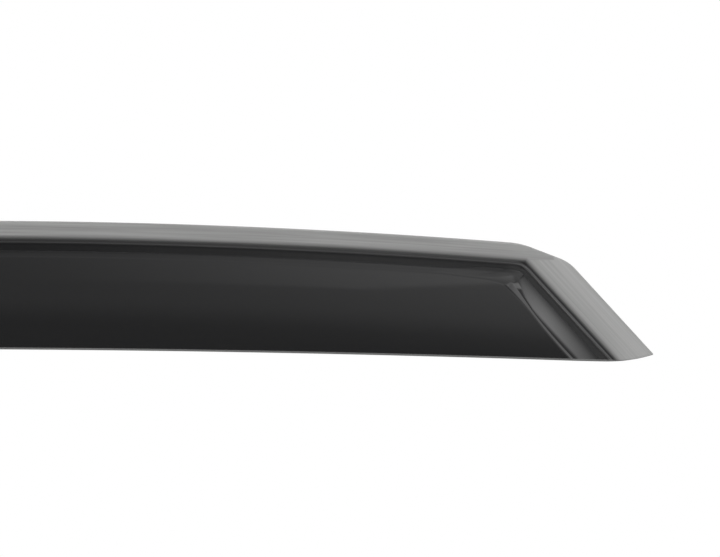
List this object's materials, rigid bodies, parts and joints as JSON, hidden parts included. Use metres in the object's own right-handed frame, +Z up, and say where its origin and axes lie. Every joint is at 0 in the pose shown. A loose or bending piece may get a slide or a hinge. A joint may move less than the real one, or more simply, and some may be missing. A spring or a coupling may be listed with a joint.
{
  "type": "window rain deflector",
  "caption": "Long arched smoked visor with a thin channel flange on three sides, a rounded shoulder and a crowned panel that keeps rain out of an open car side window.",
  "frame": {"origin": "on the flange's back face, at mid-height of the flange under the crown of the arched top edge", "axes": "+X along the deflector towards its slanted end, +Y through the flange towards the inside of the car, +Z up"},
  "size_m": [0.6399, 0.0179, 0.0732],
  "materials": {
    "smoked_acrylic": "near-black gloss, with the flange milled matt grey"
  },
  "bodies": {
    "root": {"deflector": "smoked_acrylic"}
  },
  "joints": []
}
